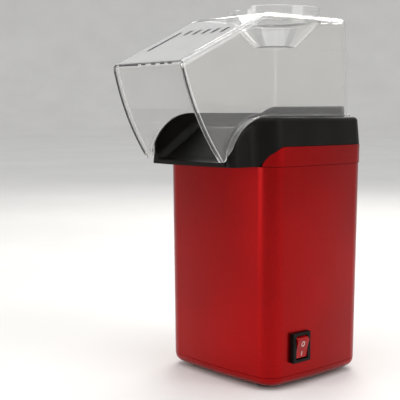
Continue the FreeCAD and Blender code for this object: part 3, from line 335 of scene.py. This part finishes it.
def make_materials():
    steel_dark, steel_light = (0.42, 0.43, 0.44), (0.68, 0.69, 0.70)
    ferrite = ((0.035, 0.035, 0.04), (0.07, 0.07, 0.075))
    return {
        "red_lacquer": red_lacquer(),
        "black_plastic": black_plastic(),
        "clear_plastic": clear_plastic("clear_plastic", (0.955, 0.95, 0.935), 0.06),
        "cup_plastic": clear_plastic("cup_plastic", (0.95, 0.955, 0.955), 0.10),
        "rubber": rubber(),
        "zinc_steel": metal("zinc_plated_steel", steel_dark, steel_light, 0.26, 600.0),
        "sheet_steel": galvanised_sheet(),
        "aluminium": spun_aluminium(),
        "mica": mica(),
        "heating_wire": metal("heating_wire", (0.16, 0.13, 0.11), (0.36, 0.31, 0.27), 0.45, 800.0),
        "silicone": silicone(),
        "white_plastic": moulded("white_nylon", (0.62, 0.60, 0.54), (0.76, 0.74, 0.68), 0.4),
        "ferrite": moulded("ferrite", *ferrite, 0.6, 700.0),
        "copper": copper_windings(),
        "brass": metal("brass", (0.50, 0.34, 0.11), (0.80, 0.60, 0.26), 0.28, 700.0, (1, 1, 0.1)),
        "board_green": board_green(),
        "rocker_red": rocker_red(),
        # painted shade for the dark lines along the clear cover's cut edges
        "painted_edge_shade": painted_edge_shade(),
    }


materials = make_materials()
for subpart in frame["record"]["subparts"]:
    mesh = nodes[subpart["node"]].data
    mesh.materials.clear()
    mesh.materials.append(materials[subpart["material_slot"]])


# ---------------------------------------------------------------- added pieces


def wire(name, paths, radius, closed=False, roundness=4):
    """A piece of round wire that follows each of the paths."""
    curve = bpy.data.curves.new(name, "CURVE")
    curve.dimensions = "3D"
    curve.bevel_depth = radius
    curve.bevel_resolution = roundness
    curve.use_fill_caps = not closed
    for path in paths:
        spline = curve.splines.new("POLY")
        spline.points.add(len(path) - 1)
        for point, place in zip(spline.points, path):
            point.co = (*place, 1)
        spline.use_cyclic_u = closed
    piece = bpy.data.objects.new(name, curve)
    bpy.context.scene.collection.objects.link(piece)
    return piece


def attach(piece, body, slot, look=None):
    """Ride a piece on a body, in a slot's own material or another one."""
    piece.data.materials.append(materials[look or slot])
    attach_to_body(piece, body)


def pivot_of(joint_name):
    joint = next(joint for joint in frame["joints"] if joint["name"] == joint_name)
    return Vector(joint["pos_m"])


def make_rocker_marks():
    """A raised circle for off and a raised bar for on, each lying in the rocker's face."""
    tilt = Matrix.Rotation(math.radians(12), 3, "Y")
    pivot = pivot_of("switch_rock")
    face, hollow, half = 5.5 * MM, 0.7 * MM, 10 * MM
    offset, half_wide, half_tall = 3.9, 1.5, 1.9

    def on_face(across, up):
        """A place on the face, which is lowest along its middle."""
        out = face - hollow * (1 - abs(up) / half)
        return pivot + tilt @ Vector((out, across, up))

    steps = 40
    ring = []
    for step in range(steps):
        turn = math.tau * step / steps
        up = (offset + half_tall * math.sin(turn)) * MM
        ring.append(on_face(half_wide * MM * math.cos(turn), up))
    off_mark = wire("rocker_off_mark", [ring], 0.26 * MM, closed=True)
    attach(off_mark, "rocker", "white_plastic")
    bar = [on_face(0, (-offset + rise) * MM) for rise in (-half_tall, -0.6, 0.6, half_tall)]
    attach(wire("rocker_on_mark", [bar], 0.28 * MM), "rocker", "white_plastic")


def make_heater_coils():
    """Closed rings of coiled resistance wire in place of the plain rings."""
    low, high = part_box("heater_coil")
    middle = (low + high) / 2
    wire_radius, pitch, steps_a_turn = 0.22 * MM, 1.5 * MM, 10
    coil_radius = (high.z - low.z) / 2 - wire_radius
    paths = []
    for radius in (15 * MM, 23 * MM, 31 * MM, 39 * MM):
        turns = round(math.tau * radius / pitch)
        path = []
        for step in range(turns * steps_a_turn):
            round_ring = math.tau * step / (turns * steps_a_turn)
            round_wire = math.tau * step / steps_a_turn
            out = radius + coil_radius * math.cos(round_wire)
            rise = coil_radius * math.sin(round_wire)
            path.append(middle + Vector((out * math.cos(round_ring), out * math.sin(round_ring), rise)))
        paths.append(path)
    coil = wire("heater_coil_wire", paths, wire_radius, closed=True, roundness=1)
    attach(coil, "housing", "heating_wire")
    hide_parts("heater_coil")


def cover_half(y, z):
    """Half the cover's width at a place in its side view, in millimetres."""
    along = (y - COVER_FRONT) / (COVER_REAR - COVER_FRONT)
    return COVER_FRONT_HALF + (COVER_REAR_HALF - COVER_FRONT_HALF) * along - COVER_DRAFT * (z - HOOD_TOP)


def point_mm(x, y, z):
    return Vector((x, y, z)) * MM


def arc_through(first, middle, last, steps):
    """Points along the circle through three places in the side view."""
    (ay, az), (by, bz), (cy, cz) = first, middle, last
    spread = 2 * (ay * (bz - cz) + by * (cz - az) + cy * (az - bz))
    squares = [y * y + z * z for y, z in (first, middle, last)]
    centre_y = (squares[0] * (bz - cz) + squares[1] * (cz - az) + squares[2] * (az - bz)) / spread
    centre_z = (squares[0] * (cy - by) + squares[1] * (ay - cy) + squares[2] * (by - ay)) / spread
    radius = math.hypot(ay - centre_y, az - centre_z)
    start = math.atan2(az - centre_z, ay - centre_y)
    turn = math.atan2(cz - centre_z, cy - centre_y) - start
    turn = (turn + math.pi) % math.tau - math.pi
    angles = [start + turn * step / steps for step in range(steps + 1)]
    return [(centre_y + radius * math.cos(a), centre_z + radius * math.sin(a)) for a in angles]


def make_mouth_edges():
    """Painted shade: dark wires for the dark lines round the cover's mouth, one down each side, and broken ones on
    top.
    """
    inset = 1.0
    edge = arc_through(MOUTH_HEEL, MOUTH_MIDDLE, MOUTH_TIP, 30)[1:-2]
    paths = []
    for side in (-1, 1):
        paths.append([point_mm(side * (cover_half(y, z) - inset), y, z) for y, z in edge])
    # painted shade: dark wires standing in for the darker look of the clear plastic's cut edges
    attach(wire("mouth_side_edges", paths, 0.55 * MM), "cover", "clear_plastic", "painted_edge_shade")
    top_y, top_z, dash_half = MOUTH_TIP[0] + 0.8, MOUTH_TIP[1] - 1.2, 2.2
    spans = [(-32.5, -10.0)] + [(x - dash_half, x + dash_half) for x in (-3.5, 8.0, 18.0, 26.5)]
    paths = []
    for low, high in spans:
        paths.append([point_mm(low + (high - low) * part / 4, top_y, top_z) for part in range(5)])
    attach(wire("mouth_top_edges", paths, 0.6 * MM), "cover", "clear_plastic", "painted_edge_shade")


def make_vent_edges():
    """Painted shade: a dark wire round the inner edge of each steam slot, part of the way through the cover's
    wall.
    """
    slot_half, depth = 1.2, 1.1
    fall = (ROOF_TOP - MOUTH_TIP[1]) / (RIDGE_Y - MOUTH_TIP[0])
    paths = []
    for x, front, rear in [LONG_SLOT, *SHORT_SLOTS]:
        outline = [(-slot_half, front), (slot_half, front), (slot_half, rear), (-slot_half, rear)]
        path = []
        for across, y in outline:
            path.append(point_mm(x + across, y, ROOF_TOP + (y - RIDGE_Y) * fall - depth))
        paths.append(path)
    # painted shade standing in for the darker look of the clear plastic at the slot edges
    edges = wire("vent_edges", paths, 0.75 * MM, closed=True)
    attach(edges, "cover", "clear_plastic", "painted_edge_shade")


def arch_profile():
    """Places along the hood's top and arch in the side view, each with its outward direction."""
    (centre_y, centre_z), steps, sweep = ARCH_CENTRE, 36, 76
    crest = centre_z + ARCH_RISE
    profile = [(48.0, crest, 0.0, 1.0), (20.0, crest, 0.0, 1.0)]
    for step in range(steps + 1):
        turn = math.radians(90 + sweep * step / steps)
        out_y, out_z = math.cos(turn) / ARCH_REACH, math.sin(turn) / ARCH_RISE
        length = math.hypot(out_y, out_z)
        place = (centre_y + ARCH_REACH * math.cos(turn), centre_z + ARCH_RISE * math.sin(turn))
        profile.append((*place, out_y / length, out_z / length))
    return profile


def make_cover_foot():
    """A thin clear flange along the cover's lower edge, which lies over the hood's arch."""
    gap, sheet, width, tuck, narrowest = 0.45, 1.1, 4.6, 0.8, 0.35
    profile = arch_profile()
    mesh = bmesh.new()
    for side in (-1, 1):
        rows = []
        for index, (y, z, out_y, out_z) in enumerate(profile):
            from_end = len(profile) - 1 - index
            spread = width * min(1.0, narrowest + index / 3, narrowest + from_end / 5)
            section = [(-tuck, gap), (spread, gap), (spread, gap + sheet), (-tuck, gap + sheet)]
            row = []
            for across, up in section:
                x = side * (cover_half(y, z) + across)
                row.append(mesh.verts.new(point_mm(x, y + out_y * up, z + out_z * up)))
            rows.append(row)
        for low, high in zip(rows, rows[1:]):
            for first in range(4):
                second = (first + 1) % 4
                mesh.faces.new((low[first], low[second], high[second], high[first]))
        mesh.faces.new(rows[0])
        mesh.faces.new(rows[-1])
    bmesh.ops.recalc_face_normals(mesh, faces=mesh.faces)
    data = bpy.data.meshes.new("cover_foot_flange")
    mesh.to_mesh(data)
    mesh.free()
    flange = bpy.data.objects.new("cover_foot_flange", data)
    bpy.context.scene.collection.objects.link(flange)
    bevel = flange.modifiers.new("rounded", "BEVEL")
    bevel.width = 0.3 * MM
    bevel.segments = 2
    attach(flange, "cover", "clear_plastic")


make_rocker_marks()
make_heater_coils()
make_mouth_edges()
make_vent_edges()
make_cover_foot()


# ---------------------------------------------------------------- studio and camera


def look_from(target, azimuth, elevation, distance):
    """A point at a distance from a target. Azimuth 0 is the spout's side, and 90 is +X."""
    turn, rise = math.radians(azimuth), math.radians(elevation)
    away = Vector((math.sin(turn) * math.cos(rise), -math.cos(turn) * math.cos(rise), math.sin(rise)))
    return target + away * distance


def aimed(item, place, target):
    item.location = place
    item.rotation_euler = (target - place).to_track_quat("-Z", "Y").to_euler()
    bpy.context.scene.collection.objects.link(item)


def make_camera(middle):
    lens = bpy.data.cameras.new("camera")
    lens.lens = CAMERA_LENS
    lens.sensor_width = 36.0
    camera = bpy.data.objects.new("camera", lens)
    target = middle + CAMERA_AIM
    aimed(camera, look_from(target, CAMERA_AZIMUTH, CAMERA_ELEVATION, CAMERA_DISTANCE), target)
    bpy.context.scene.camera = camera


def softbox(name, target, azimuth, elevation, distance, width, height, watts, color=(1, 1, 1)):
    lamp = bpy.data.lights.new(name, "AREA")
    lamp.shape = "RECTANGLE"
    lamp.size, lamp.size_y = width, height
    lamp.energy = watts
    lamp.color = color
    item = bpy.data.objects.new(name, lamp)
    aimed(item, look_from(target, azimuth, elevation, distance), target)


def make_floor():
    """A pale matt floor that curves up into a round backdrop, far off on every side."""
    floor_mesh = bmesh.new()
    flat, bend, rise, steps, sides = 7.0, 2.5, 3.5, 12, 96
    profile = [(0.5, 0.0), (flat, 0.0)]
    for step in range(1, steps + 1):
        turn = math.pi / 2 * step / steps
        profile.append((flat + bend * math.sin(turn), bend - bend * math.cos(turn)))
    profile.append((flat + bend, rise))
    rows = []
    for out, up in profile:
        turns = [math.tau * side / sides for side in range(sides)]
        rows.append([floor_mesh.verts.new((out * math.cos(a), out * math.sin(a), up)) for a in turns])
    floor_mesh.faces.new(rows[0])
    for low, high in zip(rows, rows[1:]):
        for first in range(sides):
            second = (first + 1) % sides
            floor_mesh.faces.new((low[first], high[first], high[second], low[second]))
    bmesh.ops.recalc_face_normals(floor_mesh, faces=floor_mesh.faces)
    mesh = bpy.data.meshes.new("floor")
    floor_mesh.to_mesh(mesh)
    floor_mesh.free()
    for face in mesh.polygons:
        face.use_smooth = True
    material = Material("floor", (0.80, 0.79, 0.77), 0.6)
    material.tint(material.noise(3.0, 3.0), (0.77, 0.76, 0.74), (0.82, 0.81, 0.79))
    material.spread(material.noise(20.0, 3.0), 0.55, 0.7)
    mesh.materials.append(material.data)
    floor = bpy.data.objects.new("floor", mesh)
    bpy.context.scene.collection.objects.link(floor)


def make_studio():
    low, high = (Vector(corner) for corner in cad_bounds)
    middle = (low + high) / 2
    make_camera(middle)
    softbox("key", middle, 104, 30, 1.3, 0.7, 1.1, 6)
    softbox("fill", middle, -14, 18, 1.5, 0.6, 1.2, 8, (1.0, 0.98, 0.95))
    softbox("top", middle, 40, 84, 1.4, 1.1, 1.1, 8)
    softbox("rim", middle, 215, 36, 1.6, 0.9, 0.7, 9, (1.0, 0.97, 0.92))
    world = bpy.data.worlds.new("studio")
    world.use_nodes = True
    background = world.node_tree.nodes["Background"]
    background.inputs["Color"].default_value = (0.93, 0.94, 0.96, 1)
    background.inputs["Strength"].default_value = 0.75
    bpy.context.scene.world = world
    bpy.context.scene.view_settings.view_transform = "Standard"


make_floor()
make_studio()
